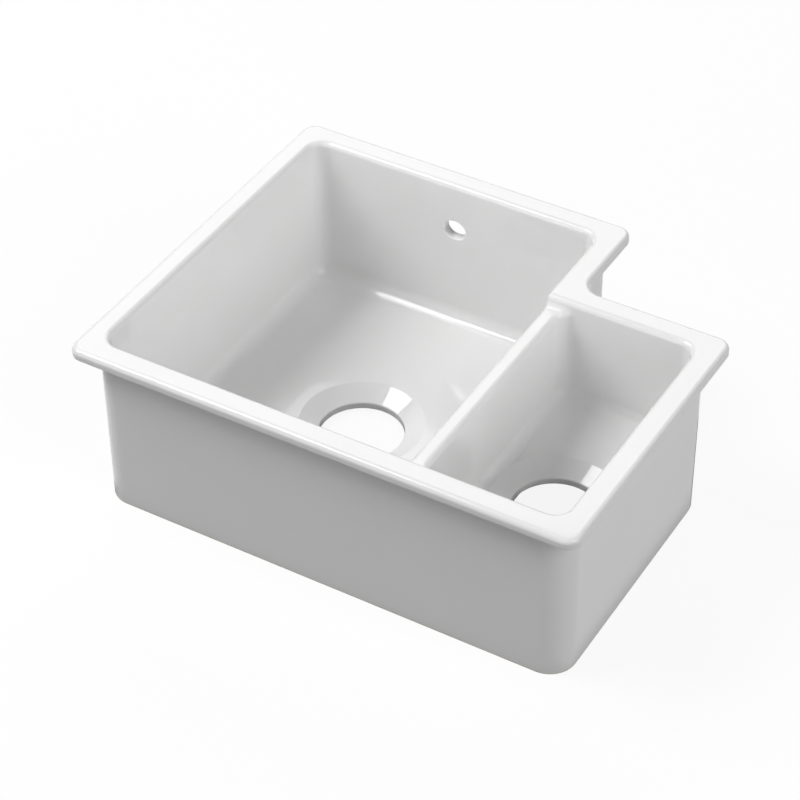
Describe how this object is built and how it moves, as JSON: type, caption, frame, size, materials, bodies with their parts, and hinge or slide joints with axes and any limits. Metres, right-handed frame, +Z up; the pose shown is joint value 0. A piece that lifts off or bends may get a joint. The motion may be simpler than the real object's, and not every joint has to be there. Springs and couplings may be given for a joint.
{
  "type": "kitchen sink",
  "caption": "Undermount kitchen sink in glazed fireclay: a deep main bowl beside a shallower small bowl in a shared rim, notched at the back corner for a tap.",
  "frame": {"origin": "under the middle of the overall box, on the plane the foot stands on", "axes": "+X to the right along the front, +Y to the back where the tap notch is, +Z up to the rim"},
  "size_m": [0.548, 0.44, 0.194],
  "materials": {
    "glazed_fireclay": "glossy white glaze",
    "insert_brass": "machined"
  },
  "bodies": {
    "root": {"fireclay_body": "glazed_fireclay", "rim_inserts": "insert_brass"}
  },
  "joints": []
}
